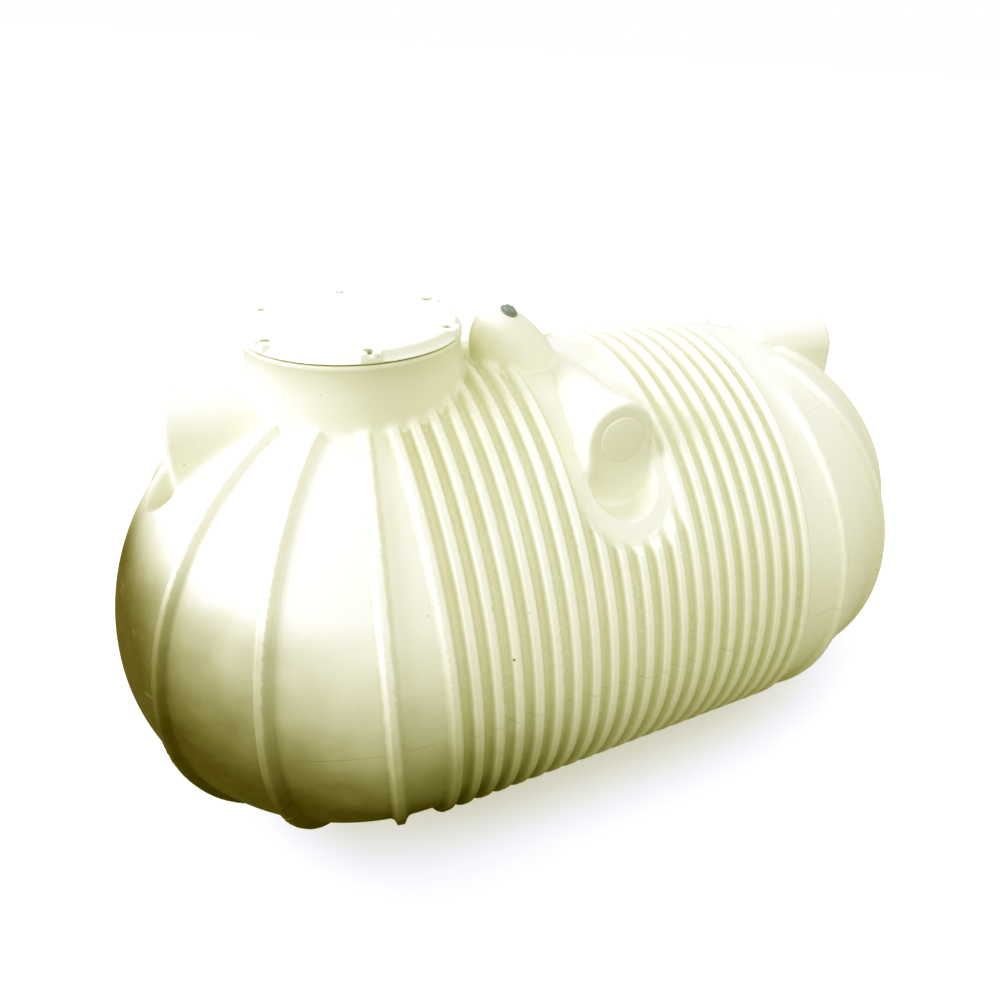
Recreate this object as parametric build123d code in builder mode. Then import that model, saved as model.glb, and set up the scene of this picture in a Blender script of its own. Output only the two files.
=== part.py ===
import math
import os

from build123d import *

os.makedirs("parts", exist_ok=True)

# Driving dimensions, in millimetres and degrees.
# The tank lies along X, its front is -Y and it stands on the ground plane Z = 0.
# Heights in this list are measured from the parting plane, where the shell is widest.

# Moulded shell, measured to the wall between the ribs
wall = 9.0
shell_radius = 602.0
side_inset = 90.0
base_step = 150.0

# Stiffening ribs, one trapezoid for the barrel and the ends
rib_height = 18.0
rib_foot = 30.0
rib_crest = 17.0
rib_pitch = 47.0
near_ribs = 8
middle_ribs = 5
far_ribs = 8
near_rib_margin = 1.0
far_rib_margin = 16.0
end_rib_first = 10.5
end_rib_step = 24.5
end_rib_pairs = 3
near_rib_top = 68.0
far_rib_top = 70.5
far_first_rib_top = 60.5
end_rib_bottom = 72.0
land_depth = 8.0

# Manhole neck, its flange, the gasket, the lid and its screws
neck_radius = 240.0
neck_rise = 114.0
neck_rim_height = 11.0
neck_rim_overhang = 4.0
flange_width = 34.0
flange_thickness = 14.0
gasket_thickness = 3.0
gasket_inset = 1.5
lid_overhang = 6.0
lid_thickness = 25.0
lid_edge_round = 4.0
lid_plate = 11.0
lid_side_slope = 15.0
lid_side_drop = 17.0
lid_lug_width = 52.0
screw_count = 6
screw_first_angle = -95.0
screw_inset = 20.0
screw_head_radius = 8.0
screw_head_height = 6.0
screw_shank_radius = 4.0
screw_clearance = 0.3
screw_recess_radius = 11.0
screw_recess_depth = 9.0
screw_recess_outlet = 10.0
screw_bite = 12.0

# Pipe bosses: an upright obround hood over a pocket, with a raised disc to drill for the seal.
# Drops go down from the crown, setbacks go inwards from the side of the shell.
boss_radius = 86.0
boss_axis_drop = 72.0
boss_hood_length = 62.0
trunk_step = 11.0
pocket_drop = 90.0
pad_margin = 32.0
side_boss_setback = 200.0
end_boss_setback = 182.0
far_boss_start = 155.0
seal_disc_radius = 70.0
seal_disc_height = 2.5
seal_disc_rise = 5.0

# Vent turret on the crown, leaning towards the manhole with a rounded top, and its plug
turret_neck_gap = 42.9
turret_radius = 109.6
turret_top_radius = 15.7
turret_rise = 137.1
turret_lean = 18.9
turret_fullness = 1.56
turret_sections = 8
turret_sink = 42.0
plug_offset = 24.3
plug_front_offset = 24.4
plug_tilt = 28.0
plug_heading = -50.0
plug_seat_drop = 10.3
plug_seat_radius = 24.0
plug_radius = 21.5
plug_height = 11.5
plug_spigot_radius = 12.0
plug_spigot_length = 14.0
plug_clearance = 0.3

# Values worked out from the driving dimensions
lower_side_radius = shell_radius - side_inset
base_arc_radius = lower_side_radius + base_step
base_centre = math.sqrt(base_step ** 2 - side_inset ** 2)
base_half_angle = math.degrees(math.atan2(side_inset, base_centre))
side_arc = 90 - base_half_angle
rib_count = near_ribs + middle_ribs + far_ribs
rib_run = (rib_count - 1) * rib_pitch + rib_foot
barrel_half = (near_rib_margin + rib_run + far_rib_margin) / 2
first_rib = -barrel_half + near_rib_margin + rib_foot / 2
near_band_end = first_rib + (near_ribs - 0.5) * rib_pitch
far_band_start = near_band_end + middle_ribs * rib_pitch
parting_height = base_arc_radius - base_centre + rib_height - land_depth
neck_height = shell_radius + neck_rise
flange_inner = neck_radius - flange_width
screw_circle = neck_radius - screw_inset
lid_radius = neck_radius + lid_overhang
lid_base = neck_height + gasket_thickness
lid_top = lid_base + lid_thickness
boss_axis_height = shell_radius - boss_axis_drop
side_boss_reach = shell_radius - side_boss_setback
end_boss_reach = shell_radius - end_boss_setback
pad_reach = shell_radius + 2 * rib_height
turret_offset = barrel_half - neck_radius - turret_neck_gap - turret_radius
turret_levels = [part / turret_sections for part in range(turret_sections + 1)]
plug_height_on_tank = shell_radius + turret_rise - plug_seat_drop

# Arcs of the section for each half: centre across and up, radius, start and sweep
upper_runs = [(0, 0, shell_radius, 0, 180)]
lower_runs = [
    (-side_inset, 0, lower_side_radius, 180, side_arc),
    (0, base_centre, base_arc_radius, 180 + side_arc, 2 * base_half_angle),
    (side_inset, 0, lower_side_radius, 360 - side_arc, side_arc),
]
rib_fade = end_rib_bottom - side_arc
lower_rib_runs = [
    (side_inset, 0, lower_side_radius, 360 - side_arc, side_arc),
    (0, base_centre, base_arc_radius, 360 - side_arc - rib_fade, rib_fade),
]


def bend(points, run, azimuth=90.0):
    """Turn a closed outline round one arc of the section, seen at this azimuth."""
    across, up, _, start, sweep = run
    heading = Vector(math.cos(math.radians(azimuth)), math.sin(math.radians(azimuth)), 0)
    pivot = heading.cross(Vector(0, 0, 1))
    turn = math.radians(start)
    normal = heading * -math.sin(turn) + Vector(0, 0, math.cos(turn))
    origin = heading * across + Vector(0, 0, up)
    with BuildSketch(Plane(origin=origin, x_dir=pivot, z_dir=normal)) as outline:
        with BuildLine():
            Polyline(*points, close=True)
        make_face()
    revolve(outline.sketch, axis=Axis(origin, pivot), revolution_arc=sweep)


def rib_corners(centre, radius):
    """Corners of one rib standing on a wall of this radius."""
    return [
        (centre - rib_foot / 2, radius),
        (centre - rib_crest / 2, radius + rib_height),
        (centre + rib_crest / 2, radius + rib_height),
        (centre + rib_foot / 2, radius),
    ]


def rib_outline(centre, radius):
    """Closed outline of one rib, rooted in the middle of the wall."""
    root = radius - wall / 2
    corners = rib_corners(centre, radius)
    return [(corners[0][0], root)] + corners + [(corners[-1][0], root)]


def wall_outline(x_start, x_end, rib_centres, radius):
    """Closed outline of the wall between two planes, with its ribs."""
    points = [(x_start, radius - wall)]
    for corner in [(x_start, radius)] + sum([rib_corners(c, radius) for c in rib_centres], []):
        if math.dist(corner, points[-1]) > 0.01:
            points.append(corner)
    if x_end - points[-1][0] > 0.01:
        points.append((x_end, radius))
    return points + [(x_end, radius - wall)]


def draw_half(half, inset):
    """Draw the right-hand outline of the section, closed on its centre line."""
    if half == "upper":
        CenterArc((0, 0), shell_radius - inset, 0, 90)
        Polyline((0, shell_radius - inset), (0, 0), (shell_radius - inset, 0))
    else:
        bottom = base_centre - base_arc_radius + inset
        CenterArc((side_inset, 0), lower_side_radius - inset, 0, -side_arc)
        CenterArc((0, base_centre), base_arc_radius - inset, -side_arc, -base_half_angle)
        Polyline((0, bottom), (0, 0), (shell_radius - inset, 0))


def end_solid(half, end, inset):
    """Solid quarter-dome end: end is -1 for the near one and 1 for the far one."""
    with BuildPart() as dome:
        with BuildSketch(Plane(origin=(0, 0, 0), x_dir=(0, -end, 0), z_dir=(-end, 0, 0))):
            with BuildLine():
                draw_half(half, inset)
            make_face()
        revolve(axis=Axis.Z, revolution_arc=180)
    return dome.part.moved(Location((end * barrel_half, 0, 0)))


def barrel_solid(half, inset):
    """Solid half of the barrel, upper or lower."""
    with BuildPart() as body:
        with BuildSketch(Plane.YZ.offset(-barrel_half)):
            with BuildLine():
                draw_half(half, inset)
            make_face()
            mirror(about=Plane.YZ)
        extrude(amount=2 * barrel_half)
    return body.part


def envelope(inset):
    """The whole tank as one solid, this far inside the outer wall."""
    with BuildPart() as body:
        for half in ("upper", "lower"):
            add(barrel_solid(half, inset))
            for end in (-1, 1):
                add(end_solid(half, end, inset))
    return body.part


def end_rib_runs(half, end, pair):
    """Arcs that one pair of end ribs follows in this half of the section."""
    if half == "lower":
        return lower_rib_runs
    top = near_rib_top
    if end > 0:
        top = far_rib_top if pair else far_first_rib_top
    return [(0, 0, shell_radius, 0, top)]


def end_wall(half, end):
    """Hollow half of one end with its meridian ribs."""
    with BuildPart() as ribs:
        for pair in range(end_rib_pairs):
            for side in (-1, 1):
                azimuth = side * (90 - end_rib_first - pair * end_rib_step)
                for run in end_rib_runs(half, end, pair):
                    bend(rib_outline(0, run[2]), run, azimuth)
    with BuildPart() as shell:
        add(end_solid(half, end, 0))
        turned = ribs.part if end > 0 else ribs.part.rotate(Axis.Z, 180)
        add(turned.moved(Location((end * barrel_half, 0, 0))))
        add(end_solid(half, end, wall), mode=Mode.SUBTRACT)
    return shell.part


def band_wall(runs, x_start, x_end, rib_centres):
    """Wall of one band of the barrel with ribs all the way round these runs."""
    with BuildPart() as band:
        for run in runs:
            bend(wall_outline(x_start, x_end, rib_centres, run[2]), run)
    return band.part


def rib_row(first, count):
    """Centres of a row of ribs along the barrel."""
    return [first_rib + (first + index) * rib_pitch for index in range(count)]


def crown_band():
    """Upper half of the middle band: its ribs stop at the smooth pads round the bosses."""
    with BuildPart() as ribs:
        for centre in rib_row(near_ribs, middle_ribs):
            bend(rib_outline(centre, shell_radius), upper_runs[0])
        add(obround_prism(boss_radius + pad_margin, -pad_reach, pad_reach), mode=Mode.SUBTRACT)
    with BuildPart() as band:
        bend(wall_outline(near_band_end, far_band_start, [], shell_radius), upper_runs[0])
        add(ribs.part)
    return band.part


def obround_prism(radius, start, reach):
    """Upright obround prism along -Y, from start to reach."""
    with BuildPart() as prism:
        with BuildSketch(Plane.XZ.offset(start)):
            with Locations((0, boss_axis_height - pocket_drop / 2)):
                SlotCenterToCenter(pocket_drop, 2 * radius, rotation=90)
        extrude(amount=reach - start)
    return prism.part


def boss_form(start, reach, trunk_radius, inset):
    """Trunk and hood of a pipe boss along -Y, this far inside their outer face."""
    hood_start = reach - boss_hood_length + inset
    with BuildPart() as form:
        add(obround_prism(trunk_radius - inset, start - inset, hood_start))
        add(obround_prism(boss_radius - inset, hood_start, reach - inset))
    return form.part


def boss_cutter(start, reach, trunk_radius):
    """What a pipe boss and its pocket take out of the shell, along -Y."""
    with BuildPart() as cutter:
        add(boss_form(start, reach, trunk_radius, 0))
        add(obround_prism(boss_radius + wall, reach - wall, shell_radius))
    return cutter.part


def boss_body(start, reach, trunk_radius, inside, outside):
    """Hollow pipe boss along -Y: trunk, hood, face, pocket walls and seal disc."""
    with BuildPart() as boss:
        add(boss_form(start, reach, trunk_radius, 0))
        add(boss_form(start, reach, trunk_radius, wall), mode=Mode.SUBTRACT)
        add(inside, mode=Mode.SUBTRACT)
    with BuildPart() as pocket:
        add(obround_prism(boss_radius + wall, reach - wall, shell_radius))
        add(outside, mode=Mode.INTERSECT)
    with BuildPart() as whole:
        add(boss.part)
        add(pocket.part)
        add(obround_prism(boss_radius, reach, shell_radius + wall), mode=Mode.SUBTRACT)
        with BuildSketch(Plane.XZ.offset(reach)):
            with Locations((0, boss_axis_height + seal_disc_rise)):
                Circle(seal_disc_radius)
        extrude(amount=seal_disc_height)
    return whole.part


def upright(radius, low, high):
    """Upright cylinder on the origin between two heights."""
    with BuildPart() as post:
        with BuildSketch(Plane.XY.offset(low)):
            Circle(radius)
        extrude(amount=high - low)
    return post.part


def turret_form(inset):
    """Leaning turret, this far inside its outer face, from a collar below the crown to its top."""
    rise = turret_rise - inset
    with BuildPart() as form:
        for level in [-turret_sink / rise] + turret_levels:
            fullness = (1 - max(level, 0) ** turret_fullness) ** (1 / turret_fullness)
            radius = turret_top_radius + (turret_radius - turret_top_radius) * fullness - inset
            height = level * rise
            lean = height * math.tan(math.radians(turret_lean))
            with BuildSketch(Plane(origin=(-lean, 0, shell_radius + height))):
                Circle(radius)
        loft()
    return form.part


tank_inside = envelope(wall)
tank_outside = envelope(0)
neck_place = Location((-barrel_half, 0, 0))
turret_place = Location((-turret_offset, 0, 0))
side_trunk = boss_radius - trunk_step
boss_forms = {
    "front_pipe_boss": (0, side_boss_reach, side_trunk),
    "back_pipe_boss": (0, side_boss_reach, side_trunk),
    "near_pipe_boss": (0, end_boss_reach, boss_radius),
    "far_pipe_boss": (far_boss_start, end_boss_reach, boss_radius),
}
boss_places = {
    "front_pipe_boss": Location((0, 0, 0)),
    "back_pipe_boss": Location((0, 0, 0), (0, 0, 180)),
    "near_pipe_boss": Location((-barrel_half, 0, 0), (0, 0, -90)),
    "far_pipe_boss": Location((barrel_half, 0, 0), (0, 0, 90)),
}

with BuildPart() as fittings:
    add(upright(neck_radius, 0, neck_height).moved(neck_place))
    add(turret_form(0).moved(turret_place))
    for name, form in boss_forms.items():
        add(boss_cutter(*form).moved(boss_places[name]))


def export_piece(piece, name):
    """Stand the piece on the ground plane, label it and write it."""
    placed = piece.moved(Location((0, 0, parting_height)))
    placed.label = name
    export_step(placed, f"parts/{name}.step")


# Shell: the two ends and three bands of the barrel, each as an upper and a lower half
bands = {
    "near": (-barrel_half, near_band_end, rib_row(0, near_ribs)),
    "middle": (near_band_end, far_band_start, rib_row(near_ribs, middle_ribs)),
    "far": (far_band_start, barrel_half, rib_row(near_ribs + middle_ribs, far_ribs)),
}
shell_walls = {}
for name, end in (("near_end", -1), ("far_end", 1)):
    shell_walls[f"{name}_upper"] = end_wall("upper", end)
    shell_walls[f"{name}_lower"] = end_wall("lower", end)
for name, (x_start, x_end, centres) in bands.items():
    lower_wall = band_wall(lower_runs, x_start, x_end, centres)
    upper_wall = crown_band() if name == "middle" else band_wall(upper_runs, x_start, x_end, centres)
    shell_walls[f"{name}_barrel_lower"] = lower_wall
    shell_walls[f"{name}_barrel_upper"] = upper_wall

for name, shell_wall in shell_walls.items():
    with BuildPart() as shell_piece:
        add(shell_wall)
        if name.endswith("upper"):
            add(fittings.part, mode=Mode.SUBTRACT)
        else:
            with Locations((0, 0, -parting_height - shell_radius / 2)):
                Box(4 * shell_radius, 4 * shell_radius, shell_radius, mode=Mode.SUBTRACT)
    export_piece(shell_piece.part, name)

# Manhole neck with its rim and the flange that the screws bite into
with BuildPart() as manhole_neck:
    add(upright(neck_radius, 0, neck_height))
    add(upright(neck_radius + neck_rim_overhang, neck_height - neck_rim_height, neck_height))
    add(upright(neck_radius - wall, -wall, neck_height - flange_thickness), mode=Mode.SUBTRACT)
    add(upright(flange_inner, 0, neck_height + wall), mode=Mode.SUBTRACT)
    with Locations(Location((0, 0, neck_height), (0, 0, screw_first_angle))):
        with PolarLocations(screw_circle, screw_count):
            Hole(screw_shank_radius + screw_clearance, depth=screw_bite + 1)
    add(tank_inside.moved(neck_place.inverse()), mode=Mode.SUBTRACT)
export_piece(manhole_neck.part.moved(neck_place), "manhole_neck")

with BuildPart() as lid_gasket:
    with BuildSketch(Plane.XY.offset(neck_height)):
        Circle(neck_radius - gasket_inset)
        Circle(flange_inner + gasket_inset, mode=Mode.SUBTRACT)
        with PolarLocations(screw_circle, screw_count, start_angle=screw_first_angle):
            Circle(screw_shank_radius + screw_clearance, mode=Mode.SUBTRACT)
    extrude(amount=gasket_thickness)
export_piece(lid_gasket.part.moved(neck_place), "lid_gasket")

# Lid: its side slopes between the screws, and a lug reaches the full edge at each screw
with BuildPart() as lid_lugs:
    with BuildSketch(Plane.XY.offset(lid_base)):
        with PolarLocations(screw_circle, screw_count, start_angle=screw_first_angle):
            Rectangle(screw_circle, lid_lug_width)
        Circle(lid_radius, mode=Mode.INTERSECT)
        Circle(screw_circle - 2 * screw_recess_radius, mode=Mode.SUBTRACT)
    extrude(amount=lid_thickness)
    fillet(lid_lugs.edges().group_by(Axis.Z)[-1].filter_by(GeomType.CIRCLE), lid_edge_round)

with BuildPart() as manhole_lid:
    add(upright(lid_radius, lid_base, lid_top))
    chamfer(manhole_lid.edges().group_by(Axis.Z)[-1], lid_side_drop, lid_side_slope)
    add(lid_lugs.part)
    add(upright(flange_inner - wall, lid_base - wall, lid_top - lid_plate), mode=Mode.SUBTRACT)
    with Locations(Location((0, 0, lid_top))):
        with PolarLocations(screw_circle, screw_count, start_angle=screw_first_angle):
            CounterBoreHole(
                screw_shank_radius + screw_clearance, screw_recess_radius, screw_recess_depth
            )
    with BuildSketch(Plane.XY.offset(lid_top)):
        with PolarLocations(lid_radius, screw_count, start_angle=screw_first_angle):
            Rectangle(2 * (lid_radius - screw_circle), screw_recess_outlet)
    extrude(amount=-screw_recess_depth, mode=Mode.SUBTRACT)
export_piece(manhole_lid.part.moved(neck_place), "manhole_lid")

screw_seat = lid_top - screw_recess_depth
for index in range(screw_count):
    angle = screw_first_angle + index * 360 / screw_count
    with BuildPart() as lid_screw:
        add(upright(screw_head_radius, screw_seat, screw_seat + screw_head_height))
        add(upright(screw_shank_radius, neck_height - screw_bite, screw_seat))
    turned = Location((0, 0, 0), (0, 0, angle)) * Location((screw_circle, 0, 0))
    export_piece(lid_screw.part.moved(neck_place * turned), f"lid_screw_{index + 1}")

# Pipe bosses
for name, place in boss_places.items():
    inside = tank_inside.moved(place.inverse())
    outside = tank_outside.moved(place.inverse())
    with BuildPart() as pipe_boss:
        add(boss_body(*boss_forms[name], inside, outside))
        if name == "near_pipe_boss":
            add(upright(neck_radius, 0, neck_height), mode=Mode.SUBTRACT)
    export_piece(pipe_boss.part.moved(place), name)

# Vent turret with a tilted seat for its plug
plug_spot = (-turret_offset - plug_offset, -plug_front_offset, plug_height_on_tank)
plug_place = Location(plug_spot, (0, 0, plug_heading)) * Location((0, 0, 0), (0, plug_tilt, 0))
with BuildPart() as plug_seat:
    add(upright(plug_seat_radius + wall, -2 * wall, 0).moved(plug_place))
    add(turret_form(0).moved(turret_place), mode=Mode.INTERSECT)
with BuildPart() as vent_turret:
    add(turret_form(0).moved(turret_place))
    add(turret_form(wall).moved(turret_place), mode=Mode.SUBTRACT)
    add(plug_seat.part)
    add(upright(plug_seat_radius, 0, turret_rise).moved(plug_place), mode=Mode.SUBTRACT)
    spigot_hole = upright(plug_spigot_radius + plug_clearance, -3 * wall, wall)
    add(spigot_hole.moved(plug_place), mode=Mode.SUBTRACT)
    add(tank_inside, mode=Mode.SUBTRACT)
    for name in ("front_pipe_boss", "back_pipe_boss"):
        add(boss_form(*boss_forms[name], 0).moved(boss_places[name]), mode=Mode.SUBTRACT)
export_piece(vent_turret.part, "vent_turret")

with BuildPart() as vent_plug:
    with BuildSketch(Plane.XY):
        RegularPolygon(plug_radius, 6)
    extrude(amount=plug_height)
    add(upright(plug_spigot_radius, -plug_spigot_length, 0))
export_piece(vent_plug.part.moved(plug_place), "vent_plug")
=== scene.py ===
import math

import bmesh
import bpy
import numpy as np
from bmesh.types import BMEdge, BMFace, BMVert
from bpy.props import FloatProperty, FloatVectorProperty, IntProperty, PointerProperty
from bpy.types import NodeSocket, Operator, Panel, PropertyGroup
from mathutils import Matrix, Vector


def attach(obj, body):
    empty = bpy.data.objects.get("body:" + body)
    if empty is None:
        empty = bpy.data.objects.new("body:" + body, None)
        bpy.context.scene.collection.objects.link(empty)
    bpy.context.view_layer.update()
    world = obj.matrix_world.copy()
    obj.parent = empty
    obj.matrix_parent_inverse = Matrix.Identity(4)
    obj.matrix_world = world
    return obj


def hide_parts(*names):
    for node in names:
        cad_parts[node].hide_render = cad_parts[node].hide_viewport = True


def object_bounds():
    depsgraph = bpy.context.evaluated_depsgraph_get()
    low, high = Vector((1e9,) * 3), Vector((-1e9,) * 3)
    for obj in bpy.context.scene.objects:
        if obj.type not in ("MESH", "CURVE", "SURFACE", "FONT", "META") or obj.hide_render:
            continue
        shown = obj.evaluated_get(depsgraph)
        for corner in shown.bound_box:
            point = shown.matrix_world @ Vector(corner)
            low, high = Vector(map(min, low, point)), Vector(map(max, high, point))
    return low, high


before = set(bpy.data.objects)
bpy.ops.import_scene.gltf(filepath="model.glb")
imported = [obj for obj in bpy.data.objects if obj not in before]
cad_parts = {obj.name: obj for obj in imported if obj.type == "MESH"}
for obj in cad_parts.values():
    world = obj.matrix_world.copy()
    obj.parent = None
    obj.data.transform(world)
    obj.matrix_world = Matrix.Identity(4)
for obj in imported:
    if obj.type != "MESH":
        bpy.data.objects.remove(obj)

bl_info = {
    "name": "Underground water tank",
    "version": (1, 0, 0),
    "blender": (4, 5, 0),
    "location": "View3D > Sidebar > Tank",
    "description": "Builds a ribbed polyethylene tank with its manhole, vent turret and pipe bosses",
    "category": "Add Mesh",
}

CAD_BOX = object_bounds()

WELD = 0.00002
FITTING_SHARP = math.radians(35)
MOULD_SHARP = math.radians(60)
SKIN_STEP = math.radians(1.0)
RIB_STEP = math.radians(1.5)
RIB_ROOT = 0.008     # how far a rib is sunk into the wall
RIB_SUNK = 0.002     # how far a faded rib ends below the wall
POCKET_SINK = 0.150  # how much further it is sunk under a pocket
PAD_FADE = 0.022     # length over which the ribs fade at a pad
TOP_FADE = 0.030     # the same at the top of the far end's ribs
NECK_CUT = 0.045     # where the spun neck takes over from the mould, above the crown
TURRET_ROOT = 0.060  # how far the turret reaches below the crown
CUT_END = 0.70       # further out than any boss
NECK_WALL = 0.009
LID_GRAIN = 0.0026

# Where the mould's inner corners are rounded: above this height over the parting plane, this
# near to the wall, and this near to the neck, the turret's cone and the outline of a boss
ROOT_LOW, ROOT_OUT = 0.28, 0.035
NECK_ROOT, CONE_ROOT = 0.006, 0.030
BOSS_ROOT_IN, BOSS_ROOT_OUT = -0.04, 0.014
END_BOSS_START = 0.12  # an end boss has its corner further out than this from its end's axis

# The shell's lengths from the near end on, with the CAD nodes that each stands for
BANDS = {
    "shell_near_end": ("near_end_upper", "near_end_lower", "near_pipe_boss"),
    "shell_neck_band": ("near_barrel_upper", "near_barrel_lower"),
    "shell_boss_band": (
        "middle_barrel_upper", "middle_barrel_lower", "front_pipe_boss", "back_pipe_boss", "vent_turret"
    ),
    "shell_far_band": ("far_barrel_upper", "far_barrel_lower"),
    "shell_far_end": ("far_end_upper", "far_end_lower", "far_pipe_boss"),
}
BAND_CUTS = (-0.2455, 0.110)

# Up the lid's side and over its top: height, inset between the lugs, inset at a lug
LID_RINGS = (
    (0.002, 0, 0), (0.004, 0.005, 0), (0.007, 0.0095, 0), (0.012, 0.0118, 0), (0.018, 0.0140, 0),
    (0.0235, 0.0162, 0.001), (0.0247, 0.0185, 0.003), (0.0249, 0.028, 0.012), (0.025, 0.100, 0.09),
)

# Specks and scuffs on the front of the barrel: place, size, strength, colour
MARKS = (
    ((-0.3456, -0.5972, 0.7111), 0.0048, 0.95, "Dirt and shade"),
    ((-0.3508, -0.6045, 0.6806), 0.0030, 0.50, "Dirt and shade"),
    ((-0.2991, -0.5668, 0.7982), 0.0030, 0.50, "Dirt and shade"),
    ((-0.3731, -0.5550, 0.8238), 0.0110, 0.60, "Yellowed and shaded"),
    ((-0.3699, -0.5636, 0.8056), 0.0075, 0.50, "Yellowed and shaded"),
)

# Wide suns that stand for soft boxes: heading and height in degrees, energy, colour
LIGHTS = {
    "key": (181, 14, 1.70, (1.0, 0.99, 0.98)),
    "front_fill": (300, 10, 0.50, (1.0, 0.98, 0.98)),
    "back_fill": (135, 38, 0.85, (1.0, 0.98, 0.98)),
    "top_fill": (225, 62, 0.55, (1.0, 1.0, 1.0)),
}
LIGHT_ANGLE = math.radians(30)
SURROUNDINGS = (0.86, 0.86, 0.87, 1)  # what lights the tank; the camera sees white
FLOOR_BOUNCE = (0.21, 0.20, 0.18, 1)  # the floor as the tank sees it
FLOOR_GLOW = 0.42                     # added to the floor as the camera sees it

# Tone curve of the blue channel, which turns the shade on cream plastic olive
BLUE_CURVE = ((0.05, 0.005), (0.20, 0.07), (0.50, 0.35), (0.80, 0.78), (0.90, 0.96))

# The camera's place, its turns in radians, and the part of the frame that the photo shows
CAMERA_PLACE = (-0.8643, -1.8454, 1.8861)
CAMERA_YAW, CAMERA_PITCH, CAMERA_ROLL = 1.0465, 0.4661, 0.0623
CAMERA_LENS = 29.39
CAMERA_SHIFT = (-0.1102, -0.0461)


def length(name, description, default):
    """A size in metres for a settings group."""
    return FloatProperty(name=name, description=description, default=default, unit="LENGTH")


def angle(name, description, default):
    """An angle, given in degrees, for a settings group."""
    turn = math.radians(default)
    return FloatProperty(name=name, description=description, default=turn, unit="ROTATION")


def colour(name, description, default):
    """A colour for a settings group."""
    return FloatVectorProperty(
        name=name, description=description, default=default, subtype="COLOR", size=3, min=0, max=1
    )


class ShellSettings(PropertyGroup):
    """The moulded shell and its ribs."""

    parting_height: length("Parting height", "Height of the widest plane above the ground", 0.552)
    shell_radius: length("Shell radius", "Radius of the upper wall between the ribs", 0.602)
    side_inset: length("Side inset", "How far in the centres of the lower side arcs lie", 0.090)
    base_step: length("Base step", "How much larger the base arc is than the side arcs", 0.150)
    barrel_half: length("Half barrel", "From the middle to the axis of either end", 0.4935)
    rib_height: length("Rib height", "How far the ribs stand out", 0.018)
    rib_foot: length("Rib foot", "Width of a rib at the wall", 0.032)
    rib_crest: length("Rib crest", "Width of a rib at its top", 0.019)
    rib_round: length("Rib rounding", "Blend at the feet and crests of the ribs", 0.0025)
    rib_pitch: length("Rib pitch", "Spacing of the barrel ribs", 0.047)
    rib_margin: length("Rib margin", "From the near end's axis to the foot of the first rib", 0.0)
    rib_count: IntProperty(name="Rib count", description="Ribs along the barrel", default=21)
    end_rib_first: angle("First end rib", "Turn of the first end rib from the barrel", 10.5)
    end_rib_step: angle("End rib step", "Turn from one end rib to the next", 24.5)
    near_rib_top: angle("Near rib top", "Height angle where the near end's ribs stop", 68.0)
    far_rib_top: angle("Far rib top", "Height angle where the far end's ribs stop", 70.5)
    far_first_top: angle("Far first rib top", "The same for the first pair at the far end", 60.5)
    end_rib_bottom: angle("End rib bottom", "Angle below the parting plane where they stop", 72.0)
    grain: length("Mould grain", "Size of the faces that the blended shell is made of", 0.0061)


class ManholeSettings(PropertyGroup):
    """The manhole neck, its lid, gasket and screws."""

    neck_radius: length("Neck radius", "Outer radius of the neck", 0.240)
    neck_rise: length("Neck rise", "Top of the neck above the crown", 0.114)
    rim_height: length("Rim height", "Height of the rounded rim of the neck", 0.011)
    rim_overhang: length("Rim overhang", "How far the rim stands out", 0.0025)
    flange_width: length("Flange width", "Width of the flange under the lid", 0.034)
    gasket_thickness: length("Gasket thickness", "Thickness of the lid's gasket", 0.003)
    lid_radius: length("Lid radius", "Outer radius of the lid", 0.246)
    lid_thickness: length("Lid thickness", "Thickness of the lid at its rim", 0.025)
    lug_width: length("Lug width", "Width of a lug at a screw", 0.052)
    screw_inset: length("Screw inset", "From the neck's outside to the screws", 0.020)
    screw_first: angle("First screw", "Turn of the first screw round the neck", -95.0)
    screw_count: IntProperty(name="Screw count", description="Screws in the lid", default=6)
    pit_radius: length("Pit radius", "Radius of the pit round a screw", 0.011)
    pit_depth: length("Pit depth", "Depth of the pit round a screw", 0.009)
    pit_outlet: length("Pit outlet", "Width of the slot from the pit to the rim", 0.010)


class BossSettings(PropertyGroup):
    """The pipe bosses with their hoods and pockets."""

    boss_radius: length("Boss radius", "Radius of the obround face", 0.086)
    axis_drop: length("Axis drop", "Boss axis below the crown", 0.072)
    pocket_drop: length("Pocket drop", "Length of the straight sides of the face", 0.090)
    hood_length: length("Hood length", "Length of the thicker end of a side boss", 0.062)
    trunk_step: length("Trunk step", "How much thinner the trunk is than the hood", 0.011)
    pad_margin: length("Pad margin", "Smooth pad round a side pocket", 0.032)
    side_setback: length("Side setback", "Face of a side boss in from the shell's side", 0.200)
    end_setback: length("End setback", "Face of an end boss in from the shell's end", 0.182)
    far_start: length("Far start", "Where the far boss starts, from its end's axis", 0.155)
    disc_radius: length("Disc radius", "Radius of the raised seal disc", 0.054)
    disc_height: length("Disc height", "Height of the raised seal disc", 0.0018)
    disc_rise: length("Disc rise", "Centre of the disc above the boss axis", -0.004)


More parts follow.
